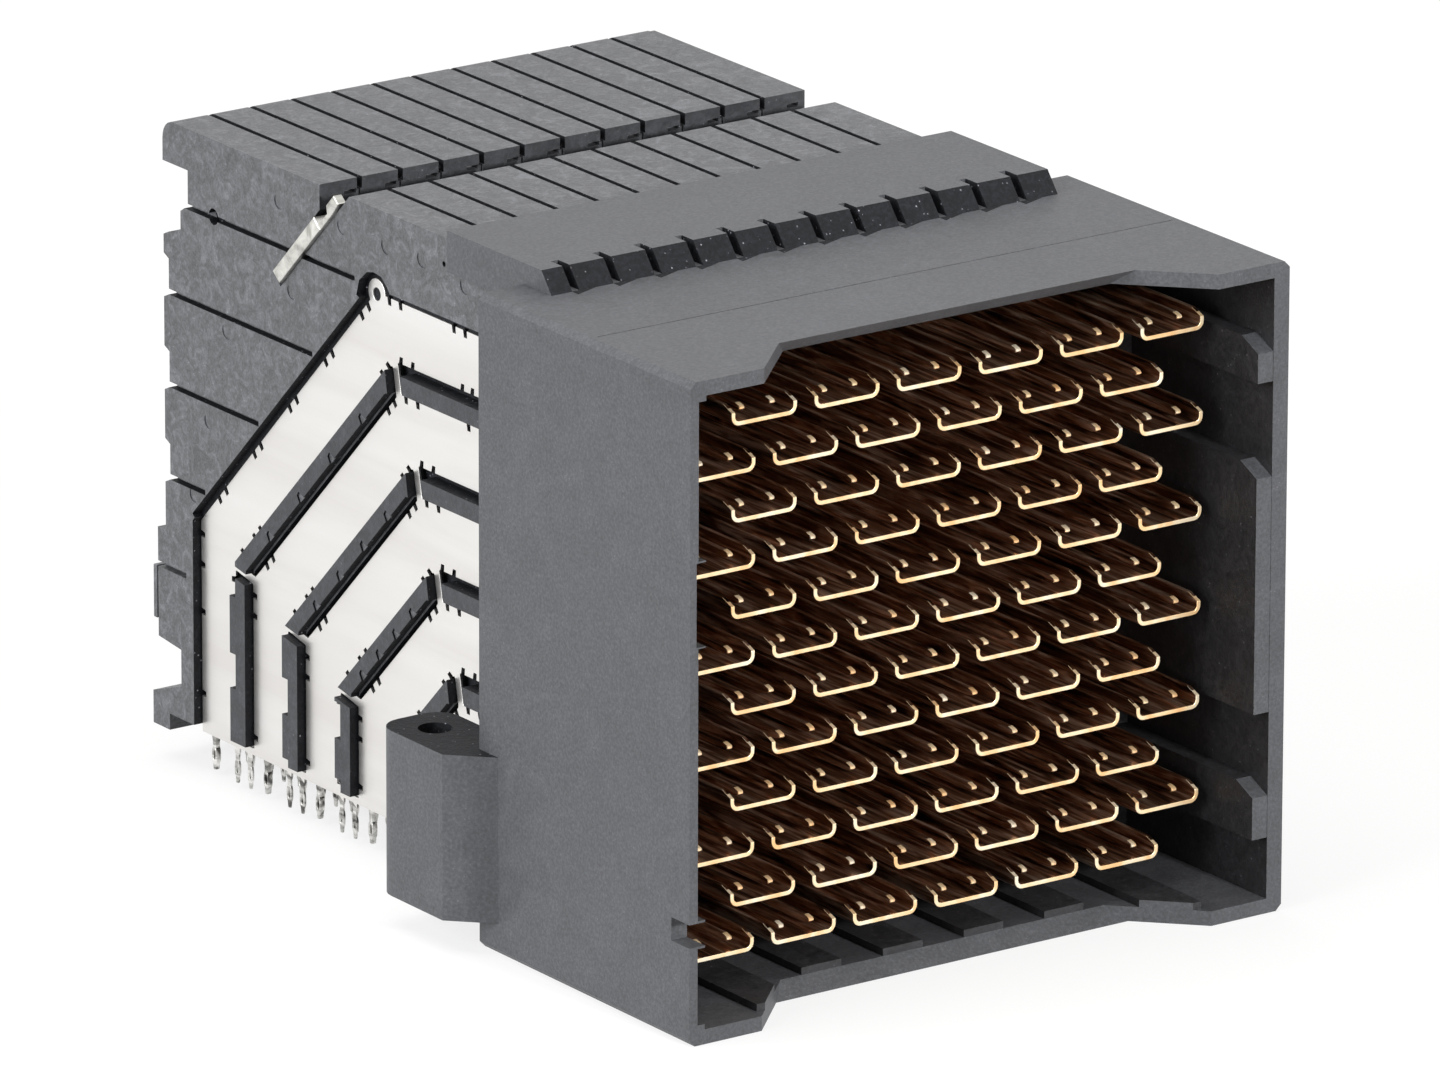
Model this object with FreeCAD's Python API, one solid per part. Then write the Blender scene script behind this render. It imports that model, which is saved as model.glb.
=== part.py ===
import FreeCAD, Part
import math
import os

os.makedirs("parts", exist_ok=True)

# All sizes in millimetres. X runs across the wafers, Y runs from the mating face backwards,
# Z is up from the circuit board's top face. The origin is on the board plane, below the middle
# of the mating face's front rim.

# Contact grid
pitch = 2.25                 # from wafer to wafer and from contact row to contact row
wafer_count = 12
row_count = 12
pair_count = row_count // 2  # contact pairs in one wafer
low_row_z = 0.925            # underside of the lowest contact shield
high_row_z = low_row_z + (row_count - 1) * pitch
column_reach = (wafer_count - 1) / 2 * pitch

# Contact shields
shield_front = 3.3
shield_gap = 0.95            # between neighbours in one row
shield_width = 2 * pitch - shield_gap
shield_thickness = 0.17
shield_leg = 0.9
shield_bend = 0.25           # bevel for the bend under each leg
rake_y = 0.72                # sloped front end of each leg
rake_z = 0.28

# Moulded housing
side_room = 1.45             # from the outer shields to the side walls
side_wall = 0.85
flat_wall = 0.7              # top and bottom walls
floor_room = 1.775           # from the floor to the lowest shields
roof_room = 2.975            # from the highest shields' undersides to the ceiling
shroud_half_width = column_reach + shield_width / 2 + side_room + side_wall
shroud_low_z = low_row_z - floor_room - flat_wall
shroud_high_z = high_row_z + roof_room + flat_wall
shroud_depth = 16.5
base_wall = 3.1              # wall between the cavity and the wafers
cavity_depth = shroud_depth - base_wall
shield_inset = 0.3           # shields end this far inside the base wall
shield_back = shroud_depth - shield_inset
notch_depth = 3.5            # set-back middle of the top and bottom rims
notch_margin = 7.45          # from the shroud's side to the notch's straight part
corner_round = 0.3
rib_width = 2.2              # low ribs along the cavity's floor
rib_height = 0.35
rib_pitch = 2 * pitch
rib_front = 0.6
pad_depth = 0.85             # keying pads on the cavity's right wall
pad_spans = [(2.1, 4.7), (8.1, 19.9), (23.8, 25.8)]
pad_front = 0.3
edge_slot_z = (3.1, 4.2)     # key slot in the left rim
edge_slot_depth = 1.4

# Wafers: positions in X are counted from the middle of each wafer's contact column
wafer_left = -1.10
wafer_right = 1.05
last_cover = 0.22            # closed skin over the leads on the last wafer's outer side
wafer_front = shroud_depth
wafer_low_z = 0.8
wafer_rise = 0.35            # wafers' top above the shroud's
wafer_high_z = shroud_high_z + wafer_rise
core_left = -0.62            # the leads lie on the thinner middle of the wafer
core_right = 0.75

# Signal leads: pin, level run, run slanting down at 45 degrees, drop, tail
lead_width = 0.38
lead_left = (-0.90, core_left)
lead_right = (core_right, 1.03)
lead_half_gap = 0.52         # half the distance between the two leads of a pair
pin_front = 3.95
pin_rise = 0.55              # pin above its shield's underside
drop_near_y = 21.45          # drop of the lowest pair
drop_step = 4.35             # from one pair's drop to the next
bend_low_z = 0.78            # bend above the lowest pair's drop
bend_step = 1.8
tail_low_z = -1.3
jog_y = shield_back           # here the first wafer's left leads step sideways, behind the plate
drop_far_y = drop_near_y + (pair_count - 1) * drop_step
lead_sum = drop_far_y + bend_low_z + (pair_count - 1) * bend_step  # Y plus Z, outermost pair
lead_sum_step = drop_step + bend_step

# Ground plate on each wafer's left face
plate_thickness = 0.12
plate_sink = 0.42            # the first wafer's plate lies this far below its face
plate_fit = 0.08             # gap round the plate in its recess
plate_over_leads = 2.17      # from the outermost slant to the plate's slanted edge, in Y plus Z
plate_sum = lead_sum + plate_over_leads
plate_behind_leads = 1.17
plate_back = drop_far_y + plate_behind_leads
plate_over_row = 1.915
plate_low_z = 0.44
plate_inset = 0.4
plate_front = shroud_depth + plate_inset
pocket_inset = 0.35          # ledge that carries the plate
ground_tail_width = 0.42
ground_tail_shifts = (1.72, 2.81)  # ground tails ahead of each pair's tails
eyelet_round = 0.5
eyelet_hole = 0.22
eyelet_rise = 0.17           # above the plate's top corner

# Ribs of the first wafer that stand through the slots of its plate
window_count = 4
window_half = 0.73
window_half_sum = 0.88       # half width along the slant, in Y plus Z
window_under_leads = 2.125   # below the pair over it, along its level run
window_inside_leads = 3.07   # the same along the slant, in Y plus Z
window_ahead_of_leads = 2.45 # the same along the drop
window_bridge = 0.34         # straps of the plate across the bends and at its lower edge
window_start = 1.0           # from the plate's front edge
rib_fit = 0.1

# Slanted bar and its slot
bar_over_plate = 6.55        # in Y plus Z
bar_sum = plate_sum + bar_over_plate
bar_top_y = bar_sum - wafer_high_z  # where the bar's line meets the wafers' top
bar_start = 2.0              # from there back to the bar's upper edge
bar_end = 5.2                # and to its lower edge
bar_high_y = bar_top_y + bar_start
bar_low_y = bar_top_y + bar_end
bar_thickness = 0.5
bar_clearance = 0.05
bar_overhang = 0.25          # beyond the first wafer's face
bar_neck = 0.7               # link and pointed head at the bar's upper edge
bar_head = 0.55
groove_length = 1.7
groove_back = bar_top_y + groove_length

# Rear of the wafers
rear_margin = 1.93
back_y = plate_back + rear_margin
lip_reach = 0.45
lip_height = 2.0
lip_bevel = (0.85, 0.9)
lip_undercut = 1.65
step_drop = (3.7, 4.1, 5.0)  # below the wafer's top, down the step under the lip
step_inset = 1.02
tooth_count = 4
tooth_reach = 0.42
tooth_height = 2.37
tooth_pitch = 2 * pitch
tooth_drop = 6.45            # from the wafer's top to the underside of the highest tooth
tooth_short = 0.9            # that tooth's height
tooth_slope = 0.2
block_reach = 1.1
block_low_z = 4.4
waist_inset = 0.8
waist_z = (2.4, 4.2)
foot_reach = 1.6
foot_height = 1.6
foot_length = 1.4
fine_groove = 0.22
fine_groove_deep = 0.2
fine_groove_count = 5
fine_groove_drop = 3.75      # from the wafer's top to the first
fine_groove_gap = 0.65       # from the plate's edge

# Hood over the front ends of the wafers
hood_rise = 1.0
hood_high_z = shroud_high_z + hood_rise
hood_overhang = 1.625        # from the outer columns to the hood's sides
hood_half_width = column_reach + hood_overhang
hood_ahead = 2.2             # ahead of the base wall's rear face
hood_lean = 0.8
hood_front_low = shroud_depth - hood_ahead
hood_front_high = hood_front_low + hood_lean
hood_cover = 6.1             # over the wafers
hood_back = shroud_depth + hood_cover
hood_cheek = 1.3
hood_cheek_low = wafer_high_z - hood_cheek
hood_side_gap = 0.075
hood_slot_width = 0.4
hood_slot_reach = 0.9
hood_slot_shift = -0.3

# Screw ears
ear_round = 1.87
ear_hole = 0.8
ear_inset = 0.05
ear_reach = 3.6
ear_x = shroud_half_width - ear_inset
ear_y = shroud_depth + ear_reach
ear_high_z = 7.9
weld = 0.2                   # parts of the housing run this far into each other before they join


def column_x(index):
    return index * pitch - column_reach


def row_z(row):
    return low_row_z + (row_count - 1 - row) * pitch


def plane_yz(x, points, thickness):
    """A flat outline of (y, z) points, thickened from x towards +X."""
    corners = [FreeCAD.Vector(x, y, z) for y, z in points]
    face = Part.Face(Part.makePolygon(corners + corners[:1]))
    return face.extrude(FreeCAD.Vector(thickness, 0, 0))


def plane_xz(y, points, depth):
    corners = [FreeCAD.Vector(x, y, z) for x, z in points]
    face = Part.Face(Part.makePolygon(corners + corners[:1]))
    return face.extrude(FreeCAD.Vector(0, depth, 0))


def plane_xy(z, points, height):
    corners = [FreeCAD.Vector(x, y, z) for x, y in points]
    face = Part.Face(Part.makePolygon(corners + corners[:1]))
    return face.extrude(FreeCAD.Vector(0, 0, height))


def block(low, high):
    size = [b - a for a, b in zip(low, high)]
    return Part.makeBox(*size, FreeCAD.Vector(*low))


def write(name, shape):
    shape.exportStep("parts/" + name + ".step")


def plate_high(kind):
    """Top of the plate: wafers of kind 0 start one row lower than those of kind 1."""
    return row_z(1 - kind) + plate_over_row


def route(z_level, slant, y_level, low_z, half, half_sum, start_y):
    """Strip that runs back, slants down at 45 degrees and drops: its outline in (y, z)."""
    upper = slant + half_sum
    lower = slant - half_sum
    outline = [(start_y, z_level + half), (upper - z_level - half, z_level + half),
               (y_level + half, upper - y_level - half), (y_level + half, low_z),
               (y_level - half, low_z), (y_level - half, lower - y_level + half),
               (lower - z_level + half, z_level - half), (start_y, z_level - half)]
    return outline


# ---- the moulded housing
def make_housing():
    w = shroud_half_width
    r = corner_round
    low, high = shroud_low_z, shroud_high_z
    outer = [(-w + r, low), (w - r, low), (w, low + r), (w, high - r), (w - r, high),
             (-w + r, high), (-w, high - r), (-w, low + r)]
    body = plane_xz(0, outer, shroud_depth)

    inner_w = w - side_wall
    cavity = block((-inner_w, -1, low + flat_wall), (inner_w, cavity_depth, high - flat_wall))
    ribs = []
    rib_count = wafer_count // 2
    for index in range(rib_count):
        x = (index - (rib_count - 1) / 2) * rib_pitch
        ribs.append(block((x - rib_width / 2, rib_front, low + flat_wall),
                          (x + rib_width / 2, cavity_depth, low + flat_wall + rib_height)))
    pads = [block((inner_w - pad_depth, pad_front, z0), (inner_w, cavity_depth, z1))
            for z0, z1 in pad_spans]
    body = body.cut(cavity.cut(Part.makeCompound(ribs + pads)))

    n = w - notch_margin
    notch = plane_xy(low - 1, [(-n - notch_depth - 1, -1), (-n, notch_depth), (n, notch_depth),
                               (n + notch_depth + 1, -1)], high - low + 2)
    side_guard = block((-w - 1, -2, low + flat_wall + rib_height),
                       (w + 1, notch_depth + 1, high - flat_wall))
    body = body.cut(notch.cut(side_guard))

    slots = []
    for row in range(row_count):
        shift = pitch if row % 2 == 0 else 0
        x0 = column_x(0) + shift - shield_width / 2
        x1 = column_x(wafer_count - 2) + shift + shield_width / 2
        slots.append(block((x0, cavity_depth - 1, row_z(row)),
                           (x1, shroud_depth + 1, row_z(row) + shield_leg)))
    key = block((-w - 1, -1, edge_slot_z[0]), (-inner_w + 0.1, edge_slot_depth, edge_slot_z[1]))
    body = body.cut(Part.makeCompound(slots + [key]))

    h = hood_half_width
    roof = plane_yz(-h, [(hood_front_low, high - weld), (hood_front_low, high),
                         (hood_front_high, hood_high_z), (hood_back, hood_high_z),
                         (hood_back, hood_cheek_low), (shroud_depth - weld, hood_cheek_low),
                         (shroud_depth - weld, high - weld)], 2 * h)
    left_end = column_x(0) + wafer_left - hood_side_gap
    right_end = column_x(wafer_count - 1) + wafer_right + last_cover + hood_side_gap
    room = block((left_end, shroud_depth, hood_cheek_low - 1),
                 (right_end, hood_back + 1, wafer_high_z))
    roof = roof.cut(room)
    cuts = []
    for index in range(wafer_count):
        x = column_x(index) + hood_slot_shift
        cuts.append(block((x - hood_slot_width / 2, hood_front_low - 1, high),
                          (x + hood_slot_width / 2, hood_front_high + hood_slot_reach,
                           hood_high_z + 1)))
    body = body.fuse(roof.cut(Part.makeCompound(cuts)))

    for side in (-1, 1):
        outer_x = ear_x + ear_round
        meet = shroud_depth - (outer_x - w) + corner_round
        plan = [(side * (w - weld), meet), (side * w, meet), (side * outer_x, meet + outer_x - w),
                (side * outer_x, ear_y), (side * (ear_x - ear_round), ear_y),
                (side * (ear_x - ear_round), shroud_depth - weld),
                (side * (w - weld), shroud_depth - weld)]
        ear = plane_xy(0, plan, ear_high_z)
        end = Part.makeCylinder(ear_round, ear_high_z, FreeCAD.Vector(side * ear_x, ear_y, 0))
        body = body.fuse(ear.fuse(end))
        body = body.cut(Part.makeCylinder(ear_hole, ear_high_z + 2,
                                          FreeCAD.Vector(side * ear_x, ear_y, -1)))
    return body.removeSplitter()


def eyelet(radius):
    """Eight-sided ring outline at the top corner of the first plate."""
    z = plate_high(0) + eyelet_rise
    y = plate_sum - plate_high(0)
    steps = [math.radians(45 * k + 22.5) for k in range(8)]
    return [(y + radius * math.cos(a), z + radius * math.sin(a)) for a in steps]


# ---- the wafers' plastic frames
def plate_outline(kind, grow, front, low_z):
    top = plate_high(kind) + grow
    slant = plate_sum + grow * math.sqrt(2)
    back = plate_back + grow
    return [(front, low_z), (front, top), (slant - top, top), (back, slant - back), (back, low_z)]


def tooth_spans():
    """The teeth at the wafer's rear edge as (upper z, lower z), from the top down."""
    spans = []
    for index in range(tooth_count):
        z = wafer_high_z - tooth_drop - index * tooth_pitch
        spans.append((z + (tooth_height if index else tooth_short), z))
    return spans


def wafer_outline(full):
    s, top, back = bar_sum, wafer_high_z, back_y
    half = (bar_thickness / 2 + bar_clearance) * math.sqrt(2)
    end = bar_low_y + bar_clearance
    slot = [(s - half - top, top), (end - half / 2, s - half / 2 - end),
            (end + half / 2, s + half / 2 - end), (groove_back, s + half - groove_back),
            (groove_back, top)]
    spans = tooth_spans()
    low_tooth = spans[-1][1]
    lip = [(back + lip_reach - lip_bevel[0], top), (back + lip_reach, top - lip_bevel[1]),
           (back + lip_reach, top - lip_height), (back - lip_undercut, top - lip_height)]
    if full:
        rear = [(back - lip_undercut, top - step_drop[0]), (back - step_inset, top - step_drop[1]),
                (back - step_inset, top - step_drop[2])]
        for upper, lower in spans:
            rear += [(back, upper + tooth_slope), (back + tooth_reach, upper),
                     (back + tooth_reach, lower), (back, lower - tooth_slope)]
        rear = rear[:-2]
    else:
        rear = [(back + tooth_reach / 2, top - step_drop[2])]
    foot = [(back + (tooth_reach if full else tooth_reach / 2), low_tooth),
            (back + block_reach, low_tooth), (back + block_reach, block_low_z),
            (back - waist_inset, waist_z[1]), (back - waist_inset, waist_z[0]),
            (back + foot_reach, foot_height), (back + foot_reach, 0),
            (back + foot_reach - foot_length, 0), (back + foot_reach - foot_length, wafer_low_z)]
    return [(wafer_front, wafer_low_z), (wafer_front, top)] + slot + lip + rear + foot


def window_parts(fit):
    """The slots between the lead pairs of the first wafer, each in three parts with the plate's
    straps between them. A fit above zero gives the ribs that stand in them."""
    b = window_bridge / 2 + fit
    parts = []
    for k in range(window_count):
        z = row_z(1) + pin_rise - window_under_leads - k * 2 * pitch
        slant = lead_sum - window_inside_leads - k * lead_sum_step
        y = drop_far_y - window_ahead_of_leads - k * drop_step
        o = route(z, slant, y, plate_low_z + window_bridge + fit, window_half - fit,
                  window_half_sum - fit * math.sqrt(2), plate_front + window_start + fit)
        parts.append([o[0], (o[1][0] - b, o[1][1]), (o[6][0] - b, o[6][1]), o[7]])
        parts.append([(o[1][0] + b, o[1][1] - b), (o[2][0] - b, o[2][1] + b),
                      (o[5][0] - b, o[5][1] + b), (o[6][0] + b, o[6][1] - b)])
        parts.append([(o[2][0], o[2][1] - b), o[3], o[4], (o[5][0], o[5][1] - b)])
    return parts


def make_wafer(index):
    x = column_x(index)
    kind = index % 2
    full = index == 0
    last = index == wafer_count - 1
    sink = plate_sink if full else 0
    thickness = wafer_right - wafer_left + (last_cover if last else 0)
    body = plane_yz(x + wafer_left, wafer_outline(full), thickness)
    low = wafer_low_z - 1
    recess = plane_yz(x + wafer_left - 1, plate_outline(kind, plate_fit, wafer_front - 1, low),
                      1 + sink + plate_thickness)
    inner = plate_outline(kind, -pocket_inset, wafer_front - 1, low)
    core = x + core_left + sink
    left_pocket = plane_yz(x + wafer_left - 1, inner, core - x - wafer_left + 1)
    right_pocket = plane_yz(x + core_right, inner, wafer_right - core_right if last else 1)
    body = body.cut(recess).cut(left_pocket).cut(right_pocket)
    if full:
        body = body.cut(plane_yz(x + wafer_left, eyelet(eyelet_round + plate_fit),
                                 sink + plate_thickness))
        for outline in window_parts(rib_fit):
            body = body.fuse(plane_yz(x + wafer_left, outline, core - x - wafer_left))
        for k in range(fine_groove_count):
            z = wafer_high_z - fine_groove_drop - k * tooth_pitch
            y = min(plate_sum - z, plate_back) + fine_groove_gap
            if k == 0:
                y += 2 * eyelet_round
            body = body.cut(block((x + wafer_left - 1, y, z - fine_groove / 2),
                                  (x + wafer_left + fine_groove_deep, back_y + foot_reach,
                                   z + fine_groove / 2)))
    return body.removeSplitter()


# ---- the ground plates
def make_plate(index):
    full = index == 0
    x = column_x(index) + wafer_left + (plate_sink if full else 0)
    outline = plate_outline(index % 2, 0, plate_front, plate_low_z)
    body = plane_yz(x, outline, plate_thickness)
    tails = []
    half = ground_tail_width / 2
    for pair in range(pair_count - 1):
        for shift in ground_tail_shifts[:2 if full else 1]:
            y = drop_far_y - pair * drop_step - shift
            tails.append(block((x, y - half, tail_low_z), (x + plate_thickness, y + half, plate_low_z)))
    body = body.fuse(Part.makeCompound(tails))
    if full:
        body = body.fuse(plane_yz(x, eyelet(eyelet_round), plate_thickness))
        holes = [plane_yz(x - 0.5, eyelet(eyelet_hole), 1)]
        holes += [plane_yz(x - 0.5, outline, 1) for outline in window_parts(0)]
        body = body.cut(Part.makeCompound(holes))
    return body.removeSplitter()


# ---- signal leads, one solid from mating pin to press-fit tail
def make_leads(index):
    x = column_x(index)
    solids = []
    half = lead_width / 2
    for pair in range(pair_count):
        z = row_z(2 * pair + 1 - index % 2) + pin_rise
        for side, (x0, x1) in ((1, lead_left), (-1, lead_right)):
            sink = plate_sink if index == 0 and side == 1 else 0
            start = jog_y if sink else pin_front
            slant = lead_sum - pair * lead_sum_step + side * lead_half_gap
            y = drop_far_y - pair * drop_step + side * lead_half_gap
            outline = route(z, slant, y, tail_low_z, half, half, start)
            if slant - z > y - 2 * lead_width:  # too short a slant: a square corner
                outline = [(start, z + half), (y + half, z + half), (y + half, tail_low_z),
                           (y - half, tail_low_z), (y - half, z - half), (start, z - half)]
            lead = plane_yz(x + x0 + sink, outline, x1 - x0)
            if sink:
                pin = block((x + x0, pin_front, z - half), (x + x1, jog_y + lead_width, z + half))
                jog = block((x + x0, jog_y, z - half), (x + x1 + sink, jog_y + lead_width, z + half))
                lead = lead.fuse([pin, jog]).removeSplitter()
            solids.append(lead)
    return Part.makeCompound(solids)


# ---- U-shaped shields round each pair of pins
def make_shields(index):
    x = column_x(index)
    solids = []
    w, t, b = shield_width / 2, shield_thickness, shield_bend
    for pair in range(pair_count):
        z = row_z(2 * pair + 1 - index % 2)
        top = z + shield_leg
        section = [(x - w, top), (x - w, z + b), (x - w + b, z), (x + w - b, z), (x + w, z + b),
                   (x + w, top), (x + w - t, top), (x + w - t, z + t), (x - w + t, z + t),
                   (x - w + t, top)]
        body = plane_xz(shield_front, section, shield_back - shield_front)
        rake = plane_yz(x - w - 1, [(shield_front - 1, top + 1), (shield_front, top - rake_z),
                                    (shield_front + rake_y, top), (shield_front + rake_y, top + 1)],
                        2 * w + 2)
        solids.append(body.cut(rake).removeSplitter())
    return Part.makeCompound(solids)


# ---- slanted bar that ties the wafers together
def make_stiffener():
    s = bar_sum
    h = bar_thickness / math.sqrt(2)
    n = h / 2
    y0, y1 = bar_low_y, bar_high_y
    neck = y1 - bar_neck
    head = neck - bar_head
    section = [(y0 - h / 2, s - h / 2 - y0), (y0 + h / 2, s + h / 2 - y0), (y1 + h / 2, s + h / 2 - y1),
               (y1 + n / 2, s + n / 2 - y1), (neck + n / 2, s + n / 2 - neck),
               (head + n / 2, s + n / 2 - head), (head - n / 2, s - n / 2 - head),
               (y1 - n / 2, s - n / 2 - y1), (y1 - h / 2, s - h / 2 - y1)]
    end = column_reach - wafer_left + bar_overhang
    return plane_yz(-end, section, 2 * end)


write("housing", make_housing())
for number in range(wafer_count):
    tag = "_%02d" % (number + 1)
    write("wafer" + tag, make_wafer(number))
    write("ground_plate" + tag, make_plate(number))
    write("signal_leads" + tag, make_leads(number))
    write("contact_shields" + tag, make_shields(number))
write("stiffener", make_stiffener())
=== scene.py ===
import bpy
import bmesh
import math
from mathutils import Matrix, Vector


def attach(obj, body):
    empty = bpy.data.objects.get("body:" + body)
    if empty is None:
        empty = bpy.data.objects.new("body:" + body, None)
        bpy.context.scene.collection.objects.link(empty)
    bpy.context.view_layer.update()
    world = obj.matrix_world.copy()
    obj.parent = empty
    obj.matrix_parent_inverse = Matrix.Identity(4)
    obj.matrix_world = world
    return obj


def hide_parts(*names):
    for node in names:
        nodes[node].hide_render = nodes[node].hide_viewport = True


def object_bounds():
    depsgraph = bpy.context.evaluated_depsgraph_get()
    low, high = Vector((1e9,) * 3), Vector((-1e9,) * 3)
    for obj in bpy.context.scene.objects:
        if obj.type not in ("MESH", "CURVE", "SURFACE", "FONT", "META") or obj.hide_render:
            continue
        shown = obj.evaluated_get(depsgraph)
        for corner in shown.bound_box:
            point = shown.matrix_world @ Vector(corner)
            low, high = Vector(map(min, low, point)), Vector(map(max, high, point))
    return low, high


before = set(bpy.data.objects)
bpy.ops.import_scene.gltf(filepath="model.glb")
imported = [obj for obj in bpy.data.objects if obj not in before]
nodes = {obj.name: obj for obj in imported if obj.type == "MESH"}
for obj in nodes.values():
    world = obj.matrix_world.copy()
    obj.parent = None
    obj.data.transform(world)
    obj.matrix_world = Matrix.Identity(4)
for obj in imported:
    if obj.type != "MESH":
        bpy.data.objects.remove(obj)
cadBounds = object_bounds()
scene = bpy.context.scene
mm = 0.001  # sizes below are in millimetres, Blender's are in metres

grid = {"pitch": 2.25, "wafers": 12, "pairs": 6, "lowRow": 0.925, "rows": 12}


def columnX(index):
    return (index - (grid["wafers"] - 1) / 2) * grid["pitch"]


def rowZ(row):
    return grid["lowRow"] + (grid["rows"] - 1 - row) * grid["pitch"]


# camera at the photograph's angle
print("camera")
view = {"target": (-14.8495, 0, 21.8506), "distance": 715.03, "azimuth": -35.1766, "elevation": 17.807,
        "roll": 0.1578, "lens": 405.98, "sensor": 36}


def placeCamera():
    azimuth, elevation, roll = (math.radians(view[key]) for key in ("azimuth", "elevation", "roll"))
    right = Vector((math.cos(azimuth), math.sin(azimuth), 0))
    back = Vector((math.sin(azimuth) * math.cos(elevation), -math.cos(azimuth) * math.cos(elevation),
                   math.sin(elevation)))
    up = back.cross(right)
    across = right * math.cos(roll) + up * math.sin(roll)
    upright = up * math.cos(roll) - right * math.sin(roll)
    place = (Vector(view["target"]) + back * view["distance"]) * mm
    lens = bpy.data.cameras.new("camera")
    lens.lens = view["lens"]
    lens.sensor_width = view["sensor"]
    lens.clip_end = 10
    camera = bpy.data.objects.new("camera", lens)
    turn = Matrix((across, upright, back)).transposed().to_4x4()
    camera.matrix_world = Matrix.Translation(place) @ turn
    scene.collection.objects.link(camera)
    scene.camera = camera


placeCamera()


# materials
print("materials")


def linear(hexText):
    parts = [int(hexText[i:i + 2], 16) / 255 for i in (1, 3, 5)]
    return tuple(p / 12.92 if p <= 0.04045 else ((p + 0.055) / 1.055) ** 2.4 for p in parts) + (1,)


def addNode(tree, kind, settings={}, links={}):
    node = tree.nodes.new(kind)
    for key, value in settings.items():
        if isinstance(key, int) or key in node.inputs:
            node.inputs[key].default_value = value
        else:
            setattr(node, key, value)
    for key, source in links.items():
        tree.links.new(source, node.inputs[key])
    return node


def newMaterial(name):
    material = bpy.data.materials.new(name)
    material.use_nodes = True
    material.node_tree.nodes.clear()
    return material, material.node_tree


def perMm(size):
    return 1 / (size * mm)  # texture scale whose features are about this many millimetres


def ramp(tree, factor, stops):
    stops = list(stops)
    node = addNode(tree, "ShaderNodeValToRGB", {}, {"Fac": factor})
    elements = node.color_ramp.elements
    while len(elements) < len(stops):
        elements.new(0.5)
    for element, (place, colour) in zip(elements, stops):
        element.position = place
        element.color = linear(colour) if isinstance(colour, str) else (colour, colour, colour, 1)
    return node.outputs["Color"]


# moulded liquid crystal polymer, as such connectors are made of: a dull dark grey with pale flow clouds
# grain and cloud are sizes in mm, drawn coarser than the real grain so that they show
plastics = {
    "shroud_plastic": {  # fine mould: broad soft clouds and few specks
        "base": "#46474A", "light": "#5D5E62", "dark": "#313234", "speck": "#96969A", "speckAmount": 0.2,
        "grain": 0.16, "cloud": 2.6, "clouds": 0.75, "rough": 0.50, "specular": 0.45,
        "bump": 0.25, "flow": 0.15},
    "wafer_plastic": {  # short flow paths: small light and dark streaks, scuffed at the top
        "base": "#4B4C4E", "light": "#7A7B80", "dark": "#27282A", "speck": "#B0B2B6", "speckAmount": 0.3,
        "grain": 0.13, "cloud": 0.8, "clouds": 0.45, "rough": 0.47, "specular": 0.5,
        "bump": 0.45, "flow": 1.1},
    "etched_plastic_and_painted_shade": {  # rough etched face of the hood, and painted shade on walls and floors deep in recesses, slots, holes and gaps: nearly black, with bright specks
        "base": "#151619", "light": "#2B2C31", "dark": "#08090C", "speck": "#A8A8B0", "speckAmount": 0.75,
        "grain": 0.2, "cloud": 0.35, "clouds": 0.45, "rough": 0.60, "specular": 0.16,
        "bump": 0.7, "flow": 0.9},
    "rib_plastic": {  # the wafer's ribs between the plate's openings: darker than its outside
        "base": "#323336", "light": "#4A4B4F", "dark": "#212225", "speck": "#808084", "speckAmount": 0.3,
        "grain": 0.2, "cloud": 1.2, "clouds": 0.5, "rough": 0.5, "specular": 0.35,
        "bump": 0.5, "flow": 0.8},
    "painted_shade_inner_plastic": {  # painted shade on the inside of the shroud: darker again, with pale specks
        "base": "#29292B", "light": "#3C3C3F", "dark": "#171719", "speck": "#6A6A70", "speckAmount": 0.55,
        "grain": 0.22, "cloud": 0.9, "clouds": 0.5, "rough": 0.5, "specular": 0.35,
        "bump": 0.5, "flow": 0.6},
}
tones = ("dark", "base", "light")
plasticPattern = {"cloudStops": (0.30, 0.50, 0.72), "grainStops": (0.25, 0.5, 0.78), "speckCells": 1.7,
                  "speckEdge": 0.16, "speckPatches": (0.45, 0.62), "speckGain": 2.2,
                  "smoother": 0.08, "rougher": 0.12, "bumpDepth": 0.05, "ior": 1.55}


def toneRamp(tree, factor, places, look):
    return ramp(tree, factor, [(place, look[tone]) for place, tone in zip(places, tones)])


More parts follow.
